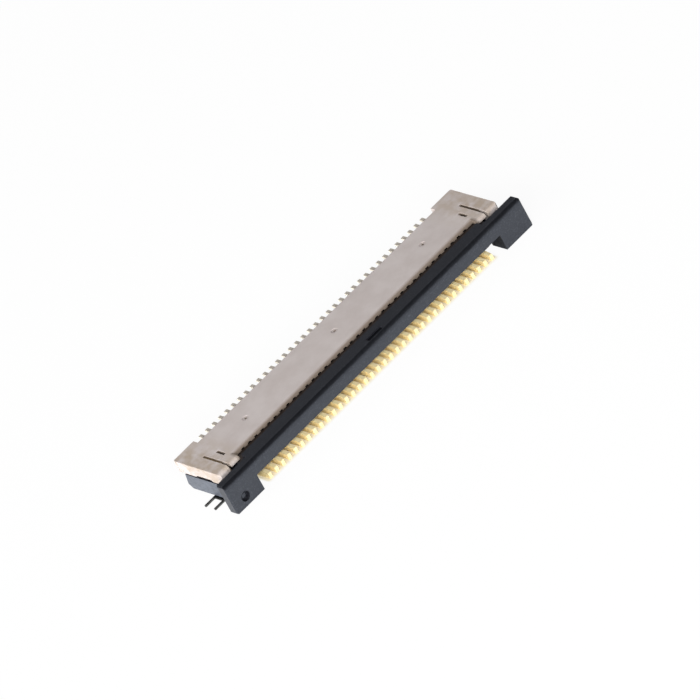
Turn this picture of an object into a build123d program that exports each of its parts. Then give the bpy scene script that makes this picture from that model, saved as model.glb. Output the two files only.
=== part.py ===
from build123d import *
import os

# Slide-lock connector for a flat flexible cable, drawn with its slider pulled out (open).
# Millimetres. +X along the contact row, -Y towards the cable, +Z up from the circuit board.
# The origin is the middle of the housing, front to back and along the row, on the board.

# Contact row
contact_count = 36
contact_pitch = 0.5
contact_thickness = 0.2
slot_side_clearance = 0.02

# Cable that the connector takes
cable_margin = 0.5
cable_thickness = 0.3
cable_side_clearance = 0.05
cable_top_clearance = 0.02

# Heights above the board
floor_web = 0.18
contact_lift = 0.02
leg_height = 0.21
leg_recess = 0.11
bump_rise = 0.12
tongue_thickness = 0.42
tongue_to_arm_gap = 0.08
upper_arm_height = 0.27
slot_top_clearance = 0.04
tooth_height = 0.08
roof_skin = 0.15
tongue_ledge_clearance = 0.03
rail_top_clearance = 0.05
tongue_root_clearance = 0.05
flange_over_tongue = 0.08
flange_height = 0.88
block_lift = 0.05
arm_lift = 0.16
arm_height = 0.98

# Housing, across the row
end_wall = 0.75
rail_width = 0.75
post_inset = 0.1
floor_side_margin = 0.25
slit_width = 0.17

# Housing, front to back
housing_depth = 3.8
rear_wall = 0.67
roof_setback = 0.44
floor_setback = 0.3
ear_reach = 0.38
rail_relief_setback = 0.96
rail_relief_length = 1.35
rail_relief_depth = 0.1
slit_length = 2.17
mouth_chamfer = 0.12
rear_edge_radius = 0.05
front_edge_radius = 0.2

# Moulding marks on the roof
gate_mark_spacing = 7.0
gate_mark_offset = 0.07
gate_mark_radius = 0.2
gate_mark_depth = 0.02
gate_pit_radius = 0.08
gate_pit_depth = 0.1

# Slider, across the row
block_gap = 0.3
arm_side_clearance = 0.06
arm_proud = 0.03
block_overhang = 0.67
tongue_edge = 0.15
tongue_side_clearance = 0.06
flange_side_clearance = 0.1

# Slider, front to back
block_depth = 0.62
open_gap = 0.52
closed_gap = 0.02
flange_depth = 1.05
foot_depth = 1.2
arm_end_setback = 0.34
tongue_end_gap = 0.39
tongue_nose_drop = 0.12
tongue_nose_length = 0.6
tongue_root_gap = 0.08
end_wall_front_gap = 0.15

# Slider details
front_round_depth = 0.22
front_round_drop = 0.4
arm_end_chamfer = 0.26
arm_end_lean = 0.2
block_edge_chamfer = 0.07
pull_recess_centre = 0.55
pull_recess_length = 1.1
pull_recess_width = 0.34
pull_recess_depth = 0.1
block_gate_radius = 0.29
block_gate_depth = 0.26
block_gate_vestige_radius = 0.13
block_gate_vestige_height = 0.1
block_gate_height = 0.58
block_gate_inset = 0.9

# Stop peg on the tongue, and its slot in the roof
peg_width = 0.12
peg_length = 0.16
peg_top_gap = 0.12
stop_slot_clearance = 0.015
stop_slot_side_clearance = 0.03
stop_slot_inset = 0.48
stop_slot_setback = 0.96

# Contact, front to back
tail_reach = 0.8
tail_flat_end = 0.35
tail_toe_height = 0.34
tail_toe_length = 0.1
heel_gap = 0.03
bump_setback = 1.33
bump_length = 0.55
arm_tip_gap = 0.65
arm_tip_length = 0.3
arm_tip_rise = 0.06
web_rear_gap = 0.12
stub_reach = 0.66
stub_height = 0.1
stub_drop = 0.05
fork_radius = 0.18
toe_radius = 0.08

# Fitting nail
nail_thickness = 0.1
nail_clearance = 0.01
nail_front_gap = 0.07
nail_top_gap = 0.12
nail_end_gap = 0.03
nail_web_proud = 0.1
tine_width = 0.11
tine_spacing = 0.79
tine_length = 0.68

# Levels worked out from the sizes above
row_half = (contact_count - 1) * contact_pitch / 2
slot_width = contact_thickness + 2 * slot_side_clearance
leg_bottom = floor_web + contact_lift
leg_top = leg_bottom + leg_height
floor_top = leg_top + leg_recess
bump_top = floor_top + bump_rise
tongue_bottom = bump_top + cable_thickness + cable_top_clearance
tongue_top = tongue_bottom + tongue_thickness
upper_arm_bottom = tongue_top + tongue_to_arm_gap
upper_arm_top = upper_arm_bottom + upper_arm_height
slot_top = upper_arm_top + slot_top_clearance
roof_underside = slot_top - tooth_height
housing_height = slot_top + roof_skin
ledge_top = tongue_bottom - tongue_ledge_clearance
flange_bottom = tongue_bottom + flange_over_tongue
flange_top = flange_bottom + flange_height
arm_top = arm_lift + arm_height
rail_bottom = arm_top + rail_top_clearance
root_top = roof_underside - tongue_root_clearance

# Places across the row
cable_slot_half = row_half + cable_margin + cable_side_clearance
slit_inner = cable_slot_half + end_wall
slit_outer = slit_inner + slit_width
housing_half = slit_outer + rail_width
post_inner = cable_slot_half + post_inset
stop_x = slit_inner - stop_slot_inset
tongue_half = stop_x + tongue_edge
ledge_half = tongue_half + tongue_side_clearance
floor_half = cable_slot_half + floor_side_margin
block_inner = cable_slot_half + block_gap
arm_inner = slit_outer + arm_side_clearance
arm_outer = housing_half + arm_proud
block_outer = arm_outer + block_overhang
flange_half = post_inner - flange_side_clearance

# Places front to back
post_front = -housing_depth / 2
ear_rear = housing_depth / 2
floor_front = post_front + floor_setback
floor_rear = ear_rear - ear_reach
wall_front = floor_rear - rear_wall
roof_front = post_front + roof_setback
slit_rear = post_front + slit_length
travel = open_gap - closed_gap
block_rear = post_front - open_gap
slider_front = block_rear - block_depth
flange_rear = slider_front + flange_depth
foot_rear = slider_front + foot_depth
arm_rear = ear_rear - arm_end_setback
tongue_rear = wall_front - travel - tongue_end_gap
arm_tip = roof_front + arm_tip_gap
root_rear = arm_tip - travel - tongue_root_gap
end_wall_front = foot_rear + travel + end_wall_front_gap
stop_slot_front = post_front + stop_slot_setback
stop_slot_rear = stop_slot_front + travel + peg_length + 2 * stop_slot_clearance
peg_front = stop_slot_front + stop_slot_clearance

# A cut runs this far past the face that it opens
over = 0.2


def block(x_range, y_range, z_range):
    """Plain rectangular solid between two places on each axis."""
    size = [abs(r[1] - r[0]) for r in (x_range, y_range, z_range)]
    middle = [(r[0] + r[1]) / 2 for r in (x_range, y_range, z_range)]
    return Pos(*middle) * Box(*size)


def side_profile(outline, x_range):
    """Closed outline in the Y-Z plane, pulled along X."""
    return extrude(Plane.YZ.offset(x_range[0]) * make_face(outline), amount=x_range[1] - x_range[0])


def at_both_ends(shape):
    """The shape and its mirror image at the other end of the row."""
    return shape + mirror(shape, about=Plane.YZ)


def contact_places():
    """X of every contact, from left to right."""
    return [index * contact_pitch - row_half for index in range(contact_count)]


def make_housing():
    """Beige moulding: floor, rear wall, toothed roof, end walls and the rails over the arms."""
    floor = side_profile(
        Polyline(
            (floor_front, 0),
            (floor_rear, 0),
            (floor_rear, floor_top),
            (floor_front + mouth_chamfer, floor_top),
            (floor_front, floor_top - mouth_chamfer),
            close=True,
        ),
        (-floor_half, floor_half),
    )
    wall = block((-slit_inner, slit_inner), (wall_front, floor_rear), (0, housing_height))
    roof = block((-slit_inner, slit_inner), (roof_front, floor_rear), (roof_underside, housing_height))
    end = block((cable_slot_half, slit_inner), (end_wall_front, floor_rear), (0, ledge_top))
    end += block((ledge_half, slit_inner), (end_wall_front, floor_rear), (0, housing_height))
    end += block((post_inner, slit_outer), (post_front, floor_rear), (roof_underside, housing_height))
    end += block((slit_inner, slit_outer), (slit_rear, floor_rear), (0, housing_height))
    end += block((post_inner, slit_outer), (floor_rear, ear_rear), (0, housing_height))
    rail = block((slit_outer, housing_half), (post_front, ear_rear), (rail_bottom, housing_height))
    rail = chamfer(rail.edges().filter_by(Axis.Z).group_by(Axis.X)[-1], rear_edge_radius * 2)
    relief_front = post_front + rail_relief_setback
    rail -= block(
        (slit_outer, housing_half + over),
        (relief_front, relief_front + rail_relief_length),
        (rail_bottom - over, rail_bottom + rail_relief_depth),
    )
    body = floor + wall + roof + at_both_ends(end + rail)

    outer = body.edges().filter_by(Axis.X).group_by(Axis.Z)[-1].group_by(Axis.Y)
    body = fillet(outer[0] + outer[1], front_edge_radius)
    outer = body.edges().filter_by(Axis.X).group_by(Axis.Z)[-1].group_by(Axis.Y)
    body = fillet(outer[-1] + outer[-2], rear_edge_radius)

    slit = block((slit_inner, slit_outer), (post_front - over, slit_rear), (-over, housing_height + over))
    stop_slot = block(
        (stop_x - peg_width / 2 - stop_slot_side_clearance, stop_x + peg_width / 2 + stop_slot_side_clearance),
        (stop_slot_front, stop_slot_rear),
        (roof_underside - over, housing_height + over),
    )
    body -= at_both_ends(slit + stop_slot)
    body -= [
        block(
            (x - slot_width / 2, x + slot_width / 2),
            (floor_front - over, floor_rear + over),
            (floor_web, slot_top),
        )
        for x in contact_places()
    ]

    for x in (-gate_mark_spacing, 0, gate_mark_spacing):
        mark = Pos(x, gate_mark_offset, housing_height)
        body -= mark * Cylinder(gate_mark_radius, 2 * gate_mark_depth)
        body -= mark * Cylinder(gate_pit_radius, 2 * gate_pit_depth)
    return body


def make_slider():
    """Black moulding: front strip and end blocks, arms along both ends, tongue and stop pegs."""
    strip = block((-flange_half, flange_half), (slider_front, flange_rear), (flange_bottom, flange_top))
    tongue = side_profile(
        Polyline(
            (slider_front + block_depth, tongue_bottom),
            (tongue_rear, tongue_bottom),
            (tongue_rear, tongue_top - tongue_nose_drop),
            (tongue_rear - tongue_nose_length, tongue_top),
            (root_rear, tongue_top),
            (root_rear, root_top),
            (slider_front + block_depth, root_top),
            close=True,
        ),
        (-tongue_half, tongue_half),
    )
    shoulder = block((flange_half, block_inner), (slider_front, block_rear), (flange_bottom, flange_top))
    end = block((block_inner, block_outer), (slider_front, block_rear), (block_lift, flange_top))
    end = chamfer(end.edges().group_by(Axis.X)[-1], block_edge_chamfer)
    foot = block((block_inner, arm_outer), (slider_front, foot_rear), (block_lift, arm_top))
    arm = side_profile(
        Polyline(
            (slider_front, arm_lift),
            (arm_rear - arm_end_chamfer, arm_lift),
            (arm_rear, arm_lift + arm_end_chamfer),
            (arm_rear - arm_end_lean, arm_top),
            (slider_front, arm_top),
            close=True,
        ),
        (arm_inner, arm_outer),
    )
    peg = block(
        (stop_x - peg_width / 2, stop_x + peg_width / 2),
        (peg_front, peg_front + peg_length),
        (tongue_bottom, housing_height - peg_top_gap),
    )
    body = strip + tongue + at_both_ends(shoulder + end + foot + arm + peg)

    round_rear = slider_front + front_round_depth
    round_foot = flange_top - front_round_drop
    body -= side_profile(
        EllipticalCenterArc(
            (round_rear, round_foot),
            front_round_depth,
            front_round_drop,
            start_angle=90,
            arc_size=90,
        )
        + Polyline(
            (slider_front, round_foot),
            (slider_front - over, round_foot),
            (slider_front - over, flange_top + over),
            (round_rear, flange_top + over),
            (round_rear, flange_top),
        ),
        (-block_outer - over, block_outer + over),
    )
    body -= block(
        (pull_recess_centre - pull_recess_length / 2, pull_recess_centre + pull_recess_length / 2),
        (round_rear, round_rear + pull_recess_width),
        (flange_top - pull_recess_depth, flange_top + over),
    )
    gate_x = block_gate_inset - block_outer
    dish = Pos(gate_x, slider_front, block_gate_height) * Rot(90, 0, 0)
    dish *= Cylinder(block_gate_radius, 2 * block_gate_depth)
    nib = Pos(gate_x, slider_front + block_gate_depth, block_gate_height) * Rot(90, 0, 0)
    nib *= Cylinder(block_gate_vestige_radius, 2 * block_gate_vestige_height)
    body -= dish - nib
    return body


def make_contact():
    """Blanked fork: upper arm, lower arm with its bump, front solder tail and rear stub."""
    toe = post_front - tail_reach
    web_rear = floor_rear - web_rear_gap
    stub_end = floor_rear + stub_reach
    stub_top = upper_arm_top - stub_drop
    bump = post_front + bump_setback
    outline = Polyline(
        (toe, 0),
        (floor_front - heel_gap, 0),
        (floor_front - heel_gap, leg_bottom),
        (web_rear, leg_bottom),
        (web_rear, stub_top - stub_height),
        (stub_end, stub_top - stub_height),
        (stub_end, stub_top),
        (web_rear, stub_top),
        (web_rear, upper_arm_top),
        (arm_tip, upper_arm_top),
        (arm_tip, upper_arm_bottom),
        (arm_tip + arm_tip_length, upper_arm_bottom),
        (arm_tip + 2 * arm_tip_length, upper_arm_bottom + arm_tip_rise),
        (wall_front, upper_arm_bottom + arm_tip_rise),
        (wall_front, leg_top),
        (bump + bump_length / 2, leg_top),
        (bump, bump_top),
        (bump - bump_length / 2, leg_top),
        (post_front - tail_flat_end, leg_top),
        (toe + tail_toe_length, tail_toe_height),
        (toe, tail_toe_height),
        close=True,
    )
    blank = side_profile(outline, (-contact_thickness / 2, contact_thickness / 2))
    across = blank.edges().filter_by(Axis.X)

    def corner(y, z):
        return across.sort_by_distance(Vertex(0, y, z))[0]

    fork_root = [corner(wall_front, upper_arm_bottom + arm_tip_rise), corner(wall_front, leg_top)]
    blank = fillet(fork_root, fork_radius)
    across = blank.edges().filter_by(Axis.X)
    return fillet([corner(toe, tail_toe_height), corner(bump, bump_top)], toe_radius)


def make_fitting_nail():
    """Right-hand solder tab: upright plate in the slit, bent under the arm into a two-tined fork."""
    inner = slit_inner + nail_clearance
    outer = inner + nail_thickness
    fork_front = foot_rear + travel + nail_front_gap
    fork_rear = fork_front + tine_spacing + tine_width
    web_end = arm_outer + nail_web_proud
    plate_rear = slit_rear - nail_end_gap
    plate_front = end_wall_front
    plate = block((inner, outer), (plate_front, plate_rear), (0, housing_height - nail_top_gap))
    foot = block((inner, web_end), (fork_front, fork_rear), (0, nail_thickness))
    body = plate + foot
    for front in (fork_front, fork_front + tine_spacing):
        body += block((web_end, web_end + tine_length), (front, front + tine_width), (0, nail_thickness))
    return body


os.makedirs("parts", exist_ok=True)

export_step(make_housing(), "parts/housing.step")
export_step(make_slider(), "parts/slider.step")

contact = make_contact()
for number, x in enumerate(contact_places(), start=1):
    export_step(Pos(x, 0, 0) * contact, f"parts/contact_{number:02d}.step")

nail = make_fitting_nail()
export_step(nail, "parts/fitting_nail_right.step")
export_step(mirror(nail, about=Plane.YZ), "parts/fitting_nail_left.step")
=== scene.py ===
import math

import bpy
from mathutils import Matrix, Vector

MM = 0.001

# Camera, at the photograph's viewing angle
CAMERA_PLACE = (-0.227845, -0.44164, 0.31206)
VIEW_DIRECTION = (0.38871937, 0.75277992, -0.53124349)
IMAGE_UP = (0.64603049, 0.18841163, 0.73969295)
CAMERA_LENS = 579.314
SENSOR_WIDTH = 36.0
CLIP_NEAR = 0.01
CLIP_FAR = 20

# Colours, linear
WHITE = (1.0, 1.0, 1.0)
HOUSING_COLOUR = (0.485, 0.432, 0.415)
HOUSING_PALE = (0.54, 0.49, 0.475)
HOUSING_TAN = (0.40, 0.33, 0.27)
# Painted shade for the roof's front rounding and the slot walls
HOUSING_SHADE_BROWN = (0.155, 0.12, 0.093)
SLIDER_COLOUR = (0.013, 0.0135, 0.017)
SLIDER_PALE = (0.070, 0.074, 0.086)
# Painted shade for the slider's front rounding, pull recess and inner block sides
SLIDER_PAINTED_SHADE = (0.001, 0.001, 0.0015)
# Painted sheen for the arms' outer faces
SLIDER_ARM_SHEEN = (0.105, 0.118, 0.145)
# Painted light for the tongue seen in the gap behind the slider's top
SLIDER_TONGUE_LIGHT = (0.042, 0.031, 0.026)
SLIDER_GLOSS_TINT = (0.78, 0.86, 1.0)
GOLD_EDGE = (1.0, 0.85, 0.50)
GOLD_EDGE_DEEP = (1.0, 0.83, 0.45)
# Painted shade for the gold tails' sides
GOLD_SIDE_SHADE = (0.95, 0.77, 0.39)
STUB_GREY = (0.55, 0.50, 0.44)
# Painted light for the rear stubs' sides
STUB_SIDE_LIGHT = (0.86, 0.80, 0.68)
TIN_COLOUR = (0.16, 0.16, 0.155)
TIN_DARK = (0.08, 0.08, 0.075)
# Browner colour of the nail's web, higher up
TIN_WEB_BROWN = (0.30, 0.215, 0.12)
FLOOR_COLOUR = (0.93, 0.93, 0.93)
# Painted gold bounce light for the floor between the tails
FLOOR_GOLD_BOUNCE = (0.93, 0.82, 0.55)
FLOOR_GLOW_GOLD_BOUNCE = (1.0, 0.93, 0.74)

# Finish: roughness from the smoothest spots to the roughest
HOUSING_ROUGHNESS = (0.52, 0.68)
SLIDER_ROUGHNESS = (0.28, 0.42)
SLIDER_SHADE_ROUGHNESS = 0.75
SLIDER_IOR = 1.75
CONTACT_ROUGHNESS = (0.36, 0.52)
CONTACT_METALLIC = 0.2
TIN_ROUGHNESS = (0.34, 0.55)
TIN_METALLIC = 1.0
TIN_WEB_METALLIC = 0.2

# Texture, in noise cells per millimetre
HOUSING_MOTTLE = 0.9
HOUSING_STAIN = 1.6
HOUSING_GRAIN = 22
SLIDER_SPECKLE = 14
SLIDER_STREAK = 1.3
CONTACT_LINES = 9
CONTACT_PATCH = 2.2
TIN_PATCH = 3.5
TIN_GRAIN = 18

# A fade gives the two places between which a mask goes from nothing to full.
# Places are millimetres from the part's middle, and heights are above the board.
STAIN_SIDE_FADE = (8.4, 10.4)
ROOF_EDGE_FADE = (-1.25, -1.42)
ROOF_SIDE_FADE = (9.6, 9.4)
SLOT_HEIGHT_FADE = (1.905, 1.88)
SLOT_SIDE_FADE = (10.9, 10.85)
SLOT_DEPTH_FADE = (1.3, 1.2)
ARM_SIDE_FADE = (10.3, 10.6)
ARM_FRONT_FADE = (-2.42, -2.36)
BLOCK_INNER_FADE = (-4, -8)
TONGUE_FRONT_FADE = (-2.0, -1.96)
TONGUE_SIDE_FADE = (9.7, 9.5)
RECESS_MIDDLE = 0.55
RECESS_SIDE_FADE = (0.58, 0.53)
RECESS_REAR_FADE = (-2.35, -2.45)
RECESS_HEIGHT_FADE = (1.865, 1.84)
REAR_STUB_FADE = (1.3, 1.75)
TAB_WEB_FADE = (0.9, 1.1)
TAIL_SIDE_FADE = (9.1, 8.95)
TAIL_FRONT_FADE = (-2.9, -2.6)
TAIL_REAR_FADE = (-1.4, -1.6)

# Fades over a face's direction instead of its place
ROUNDING_FADE = (-0.22, -0.44)
FACING_UP_FADE = (0.93, 0.98)
PAINTED_SIDE_FADE = (0.5, 0.8)

# How strong a mask is where it is full
HOUSING_GRAIN_SHARE = 0.10
ARM_SHEEN_SHARE = 0.7
ROUNDING_SHARE = 0.85
BLOCK_INNER_SHARE = 0.75

# Floor and world
FLOOR_HALF = 1.5
FLOOR_DROP = 0.02 * MM
FLOOR_GLOW_SEEN = 0.94
FLOOR_GLOW_REFLECTED = 0.2
FLOOR_GLOW_BY_TAILS = 0.35
WORLD_LEVEL = 0.08

# Lamps: name, direction from the object, distance, size, radiance, seen in reflections or not
LAMPS = (
    ("key", (-0.95, 0.02, 0.28), 0.45, (0.50, 0.30), 6.4, False),
    ("front", (-0.50, -0.76, 0.42), 0.40, (0.26, 0.18), 15.2, False),
    ("overhead", (0.30, 0.25, 0.9), 0.35, (0.42, 0.42), 0.15, True),
)


class Nodes:
    """Short helper for building a node tree whose coordinates are millimetres of the part."""

    def __init__(self, name):
        self.material = bpy.data.materials.new(name)
        self.material.use_nodes = True
        self.tree = self.material.node_tree
        self.tree.nodes.clear()
        self.output = self.add("ShaderNodeOutputMaterial")
        self.shader = self.add("ShaderNodeBsdfPrincipled")
        self.link(self.shader.outputs[0], self.output.inputs[0])

    def add(self, kind, **settings):
        node = self.tree.nodes.new(kind)
        for key, value in settings.items():
            setattr(node, key, value)
        return node

    def link(self, source, target):
        self.tree.links.new(source, target)

    def feed(self, socket, value):
        """Gives a socket a number, a colour or another node's output."""
        if isinstance(value, (int, float)):
            socket.default_value = value
        elif isinstance(value, tuple):
            socket.default_value = (*value, 1.0)
        else:
            self.link(value, socket)

    def coordinates(self, stretch=(1, 1, 1)):
        place = self.add("ShaderNodeTexCoord")
        scale = self.add("ShaderNodeMapping")
        scale.inputs["Scale"].default_value = [s / MM for s in stretch]
        self.link(place.outputs["Object"], scale.inputs["Vector"])
        return scale.outputs[0]

    def noise(self, per_mm, detail=4.0, roughness=0.55, stretch=(1, 1, 1)):
        node = self.add("ShaderNodeTexNoise")
        node.inputs["Scale"].default_value = per_mm
        node.inputs["Detail"].default_value = detail
        node.inputs["Roughness"].default_value = roughness
        self.link(self.coordinates(stretch), node.inputs["Vector"])
        return node.outputs["Fac"]

    def ramp(self, value, low, high, out_low=0.0, out_high=1.0):
        node = self.add("ShaderNodeMapRange")
        node.inputs["From Min"].default_value = low
        node.inputs["From Max"].default_value = high
        node.inputs["To Min"].default_value = out_low
        node.inputs["To Max"].default_value = out_high
        self.link(value, node.inputs["Value"])
        return node.outputs["Result"]

    def math(self, operation, first, *others):
        """One operation, repeated for each further value."""
        if not others:
            node = self.add("ShaderNodeMath", operation=operation)
            self.feed(node.inputs[0], first)
            return node.outputs[0]
        for other in others:
            node = self.add("ShaderNodeMath", operation=operation)
            self.feed(node.inputs[0], first)
            self.feed(node.inputs[1], other)
            first = node.outputs[0]
        return first

    def mix(self, factor, a, b):
        node = self.add("ShaderNodeMix", data_type="RGBA")
        colour_inputs = [s for s in node.inputs if s.type == "RGBA"]
        self.feed(node.inputs[0], factor)
        self.feed(colour_inputs[0], a)
        self.feed(colour_inputs[1], b)
        return [s for s in node.outputs if s.type == "RGBA"][0]

    def axis(self, name):
        split = self.add("ShaderNodeSeparateXYZ")
        self.link(self.coordinates(), split.inputs[0])
        return split.outputs[name]

    def from_middle(self, name, middle=0.0):
        return self.math("ABSOLUTE", self.math("SUBTRACT", self.axis(name), middle))

    def facing(self, name):
        place = self.add("ShaderNodeTexCoord")
        split = self.add("ShaderNodeSeparateXYZ")
        self.link(place.outputs["Normal"], split.inputs[0])
        return split.outputs[name]

    def bump(self, height, strength, depth_mm):
        node = self.add("ShaderNodeBump")
        node.inputs["Strength"].default_value = strength
        node.inputs["Distance"].default_value = depth_mm * MM
        self.link(height, node.inputs["Height"])
        self.link(node.outputs[0], self.shader.inputs["Normal"])


def housing_material():
    """Beige moulded plastic: mottling, a fine grain, tan stains towards the row's ends.

    Painted shade turns the roof's rounded front edge and the slot walls brown.
    """
    n = Nodes("housing_plastic_look")
    mottle = n.ramp(n.noise(HOUSING_MOTTLE, detail=5), 0.35, 0.65)
    colour = n.mix(mottle, HOUSING_COLOUR, HOUSING_PALE)
    from_middle = n.from_middle("X")
    stain = n.math(
        "MULTIPLY",
        n.ramp(from_middle, *STAIN_SIDE_FADE),
        n.ramp(n.noise(HOUSING_STAIN), 0.35, 0.6),
    )
    colour = n.mix(stain, colour, HOUSING_TAN)
    # Painted shade: the roof's rounded front edge turns brown.
    roof_edge_shade = n.math(
        "MULTIPLY",
        n.ramp(n.axis("Y"), *ROOF_EDGE_FADE),
        n.ramp(from_middle, *ROOF_SIDE_FADE),
    )
    colour = n.mix(roof_edge_shade, colour, HOUSING_SHADE_BROWN)
    # Painted shade: the slot walls below the roof's top turn brown.
    slot_shade = n.math(
        "MULTIPLY",
        n.ramp(n.axis("Z"), *SLOT_HEIGHT_FADE),
        n.ramp(from_middle, *SLOT_SIDE_FADE),
        n.ramp(n.from_middle("Y"), *SLOT_DEPTH_FADE),
    )
    colour = n.mix(slot_shade, colour, HOUSING_SHADE_BROWN)
    grain = n.noise(HOUSING_GRAIN, detail=3)
    colour = n.mix(n.ramp(grain, 0.2, 0.8, 0.0, HOUSING_GRAIN_SHARE), colour, HOUSING_PALE)
    n.link(colour, n.shader.inputs["Base Color"])
    n.link(n.ramp(grain, 0.3, 0.7, *HOUSING_ROUGHNESS), n.shader.inputs["Roughness"])
    n.bump(grain, strength=0.35, depth_mm=0.012)
    return n.material


def slider_material():
    """Black glass-filled plastic: fine speckle and faint flow streaks along the row.

    Painted shade darkens the front rounding, the pull recess and the inner sides of the end blocks;
    a painted sheen makes the arms paler, and painted light makes the tongue lighter and browner.
    """
    n = Nodes("slider_plastic_look")
    speckle = n.noise(SLIDER_SPECKLE, detail=4, roughness=0.65)
    streak = n.noise(SLIDER_STREAK, detail=4, stretch=(0.5, 3, 3))
    shade = n.math("MULTIPLY", n.ramp(speckle, 0.5, 0.8), n.ramp(streak, 0.3, 0.7, 0.35, 1.0))
    colour = n.mix(shade, SLIDER_COLOUR, SLIDER_PALE)

    # Distance from the middle, positive on sides that face outwards, negative on inner sides
    outward = n.math("MULTIPLY", n.facing("X"), n.axis("X"))
    # Painted sheen: the arms' outer faces are paler.
    arm_sheen = n.math(
        "MULTIPLY",
        n.ramp(outward, *ARM_SIDE_FADE, 0.0, ARM_SHEEN_SHARE),
        n.ramp(n.axis("Y"), *ARM_FRONT_FADE),
        n.ramp(streak, 0.3, 0.6, 0.5, 1.0),
    )
    colour = n.mix(arm_sheen, colour, SLIDER_ARM_SHEEN)
    # Painted light: the tongue behind the flange is lighter and browner.
    tongue = n.math(
        "MULTIPLY",
        n.ramp(n.axis("Y"), *TONGUE_FRONT_FADE),
        n.ramp(n.from_middle("X"), *TONGUE_SIDE_FADE),
    )
    colour = n.mix(tongue, colour, SLIDER_TONGUE_LIGHT)

    # Painted shade: the front rounding, where the face turns from up to forward, goes near black.
    forward_and_up = n.math("MULTIPLY", n.facing("Y"), n.facing("Z"))
    # Painted shade in the pull recess.
    recess = n.math(
        "MULTIPLY",
        n.ramp(n.from_middle("X", RECESS_MIDDLE), *RECESS_SIDE_FADE),
        n.ramp(n.axis("Y"), *RECESS_REAR_FADE),
        n.ramp(n.axis("Z"), *RECESS_HEIGHT_FADE),
        n.ramp(n.facing("Z"), *FACING_UP_FADE),
    )
    # Painted shade: near black on the front rounding, the recess and the inner block sides, and
    # rougher there.
    painted_shade = n.math(
        "MAXIMUM",
        n.ramp(forward_and_up, *ROUNDING_FADE, 0.0, ROUNDING_SHARE),
        # Painted shade on the inner sides of the end blocks
        n.ramp(outward, *BLOCK_INNER_FADE, 0.0, BLOCK_INNER_SHARE),
        recess,
    )
    n.link(n.mix(painted_shade, colour, SLIDER_PAINTED_SHADE), n.shader.inputs["Base Color"])
    roughness = n.math(
        "MAXIMUM",
        n.ramp(speckle, 0.3, 0.7, *SLIDER_ROUGHNESS),
        n.ramp(painted_shade, 0.0, 0.6, 0.0, SLIDER_SHADE_ROUGHNESS),
    )
    n.link(roughness, n.shader.inputs["Roughness"])
    n.shader.inputs["IOR"].default_value = SLIDER_IOR
    n.shader.inputs["Specular Tint"].default_value = (*SLIDER_GLOSS_TINT, 1.0)
    n.bump(speckle, strength=0.4, depth_mm=0.015)
    return n.material


def contact_material():
    """Gold plate on the tails and the fork, greyer metal on the rear stubs, blanking lines.

    The rolled sides facing along the row are painted against the blanked edges: darker gold on the
    tails as painted shade, paler cream on the rear stubs as painted light.
    """
    n = Nodes("contact_gold_look")
    lines = n.noise(CONTACT_LINES, detail=3, stretch=(3, 0.6, 0.6))
    patch = n.noise(CONTACT_PATCH, detail=3)
    painted_side = n.ramp(n.math("ABSOLUTE", n.facing("X")), *PAINTED_SIDE_FADE)
    gold = n.mix(n.ramp(patch, 0.35, 0.7), GOLD_EDGE, GOLD_EDGE_DEEP)
    # Painted shade: the gold sides facing along the row are darker than the tops.
    gold = n.mix(painted_side, gold, GOLD_SIDE_SHADE)
    # Painted light: the rear stubs' sides facing along the row are paler cream.
    stub = n.mix(painted_side, STUB_GREY, STUB_SIDE_LIGHT)
    colour = n.mix(n.ramp(n.axis("Y"), *REAR_STUB_FADE), gold, stub)
    n.link(colour, n.shader.inputs["Base Color"])
    n.shader.inputs["Metallic"].default_value = CONTACT_METALLIC
    n.link(n.ramp(lines, 0.3, 0.7, *CONTACT_ROUGHNESS), n.shader.inputs["Roughness"])
    n.bump(lines, strength=0.25, depth_mm=0.01)
    return n.material


def nail_material():
    """Dull tin plate with darker patches, browner on the web that stands in the housing's slit."""
    n = Nodes("nail_tin_look")
    patch = n.noise(TIN_PATCH, detail=5)
    web = n.ramp(n.axis("Z"), *TAB_WEB_FADE)
    tin = n.mix(n.ramp(patch, 0.35, 0.65), TIN_COLOUR, TIN_DARK)
    # The web, higher up in the housing's slit, is browner and less metallic.
    n.link(n.mix(web, tin, TIN_WEB_BROWN), n.shader.inputs["Base Color"])
    metallic = n.ramp(web, 0.0, 1.0, TIN_METALLIC, TIN_WEB_METALLIC)
    n.link(metallic, n.shader.inputs["Metallic"])
    n.link(n.ramp(patch, 0.3, 0.7, *TIN_ROUGHNESS), n.shader.inputs["Roughness"])
    n.bump(n.noise(TIN_GRAIN, detail=3), strength=0.3, depth_mm=0.01)
    return n.material


def beside_tails(n):
    """Floor between the solder tails, where it lies in their shade and gets a painted gold bounce
    light from them.
    """
    return n.math(
        "MULTIPLY",
        n.ramp(n.from_middle("X"), *TAIL_SIDE_FADE),
        n.ramp(n.axis("Y"), *TAIL_FRONT_FADE),
        n.ramp(n.axis("Y"), *TAIL_REAR_FADE),
    )


def glow_share(n, tails):
    """How far the floor is plain white: most where the camera sees it, but less by the tails."""
    path = n.add("ShaderNodeLightPath")
    seen = n.ramp(tails, 0.0, 1.0, FLOOR_GLOW_SEEN, FLOOR_GLOW_BY_TAILS)
    seen = n.math("MULTIPLY", seen, path.outputs["Is Camera Ray"])
    glossy = path.outputs["Is Glossy Ray"]
    reflected = n.math("MAXIMUM", glossy, path.outputs["Is Transmission Ray"])
    return n.math("MAXIMUM", n.math("MULTIPLY", reflected, FLOOR_GLOW_REFLECTED), seen)


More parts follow.
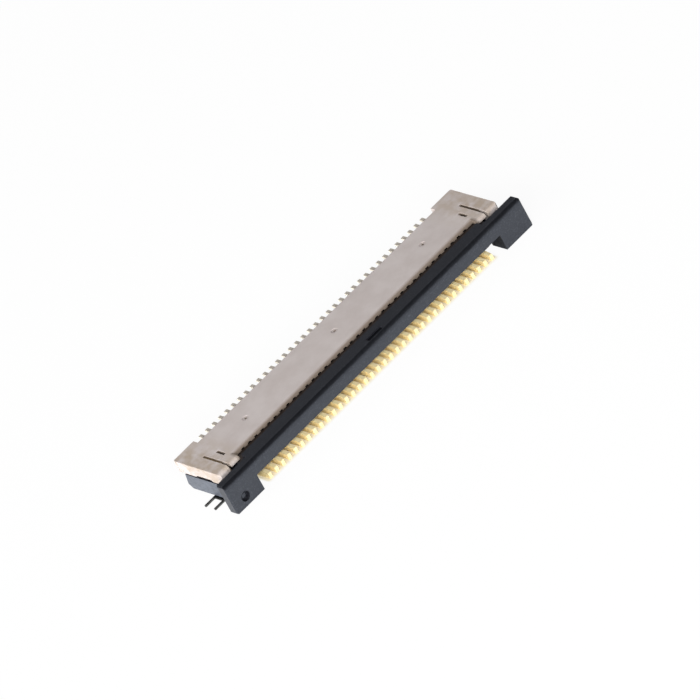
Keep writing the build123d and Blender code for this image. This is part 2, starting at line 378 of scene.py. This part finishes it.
def make_floor():
    """Plain white floor that keeps a light shadow of the object."""
    mesh = bpy.data.meshes.new("floor")
    corners = [(x * FLOOR_HALF, y * FLOOR_HALF, 0) for x, y in ((-1, -1), (1, -1), (1, 1), (-1, 1))]
    mesh.from_pydata(corners, [], [(0, 1, 2, 3)])
    floor = bpy.data.objects.new("floor", mesh)
    bpy.context.scene.collection.objects.link(floor)
    floor.location.z = -FLOOR_DROP
    n = Nodes("floor_white")
    n.tree.nodes.remove(n.shader)
    matt = n.add("ShaderNodeBsdfDiffuse")
    glow = n.add("ShaderNodeEmission")
    mix = n.add("ShaderNodeMixShader")
    tails = beside_tails(n)
    # Painted gold bounce light on the floor between the tails.
    n.link(n.mix(tails, FLOOR_COLOUR, FLOOR_GOLD_BOUNCE), matt.inputs["Color"])
    n.link(n.mix(tails, WHITE, FLOOR_GLOW_GOLD_BOUNCE), glow.inputs["Color"])
    n.link(glow_share(n, tails), mix.inputs[0])
    n.link(matt.outputs[0], mix.inputs[1])
    n.link(glow.outputs[0], mix.inputs[2])
    n.link(mix.outputs[0], n.output.inputs[0])
    mesh.materials.append(n.material)


def make_world():
    """Dim even light from all round, seen as plain white behind the floor."""
    world = bpy.data.worlds.new("studio")
    bpy.context.scene.world = world
    world.use_nodes = True
    tree = world.node_tree
    tree.nodes.clear()
    output = tree.nodes.new("ShaderNodeOutputWorld")
    mix = tree.nodes.new("ShaderNodeMixShader")
    path = tree.nodes.new("ShaderNodeLightPath")
    tree.links.new(path.outputs["Is Camera Ray"], mix.inputs[0])
    for socket, level in ((mix.inputs[1], WORLD_LEVEL), (mix.inputs[2], 1.0)):
        background = tree.nodes.new("ShaderNodeBackground")
        background.inputs["Color"].default_value = (*WHITE, 1.0)
        background.inputs["Strength"].default_value = level
        tree.links.new(background.outputs[0], socket)
    tree.links.new(mix.outputs[0], output.inputs[0])


def make_lamp(name, direction, distance, size, radiance, mirrored):
    """Soft lamp that looks at the object from the given direction."""
    light = bpy.data.lights.new(name, "AREA")
    light.shape = "RECTANGLE"
    light.size, light.size_y = size
    light.energy = radiance * math.pi * size[0] * size[1]
    lamp = bpy.data.objects.new(name, light)
    bpy.context.scene.collection.objects.link(lamp)
    towards = Vector(direction).normalized()
    lamp.location = towards * distance
    lamp.rotation_euler = towards.to_track_quat("Z", "Y").to_euler()
    lamp.visible_camera = False
    lamp.visible_glossy = mirrored


def make_camera():
    """Long lens, placed and turned as the one that took the photograph."""
    data = bpy.data.cameras.new("camera")
    data.lens = CAMERA_LENS
    data.sensor_width = SENSOR_WIDTH
    data.sensor_fit = "HORIZONTAL"
    data.clip_start = CLIP_NEAR
    data.clip_end = CLIP_FAR
    camera = bpy.data.objects.new("camera", data)
    bpy.context.scene.collection.objects.link(camera)
    back = -Vector(VIEW_DIRECTION).normalized()
    up = Vector(IMAGE_UP).normalized()
    right = up.cross(back).normalized()
    up = back.cross(right)
    turn = Matrix((right, up, back)).transposed()
    camera.matrix_world = Matrix.Translation(CAMERA_PLACE) @ turn.to_4x4()
    bpy.context.scene.camera = camera


def dress(node, material):
    """Gives a CAD node its finished material."""
    node.data.materials.clear()
    node.data.materials.append(material)


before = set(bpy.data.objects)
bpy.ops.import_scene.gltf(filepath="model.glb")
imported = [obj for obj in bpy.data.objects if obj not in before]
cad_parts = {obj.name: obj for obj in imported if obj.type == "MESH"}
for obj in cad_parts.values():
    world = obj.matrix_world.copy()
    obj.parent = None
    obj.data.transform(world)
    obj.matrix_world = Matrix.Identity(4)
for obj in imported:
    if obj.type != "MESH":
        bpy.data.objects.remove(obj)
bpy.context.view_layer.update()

looks = {
    "housing": housing_material(),
    "slider": slider_material(),
    "contact": contact_material(),
    "fitting": nail_material(),
}
for name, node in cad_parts.items():
    dress(node, looks[name.split("_")[0]])

make_floor()
make_world()
for lamp_facts in LAMPS:
    make_lamp(*lamp_facts)
make_camera()

bpy.context.scene.view_settings.view_transform = "Standard"
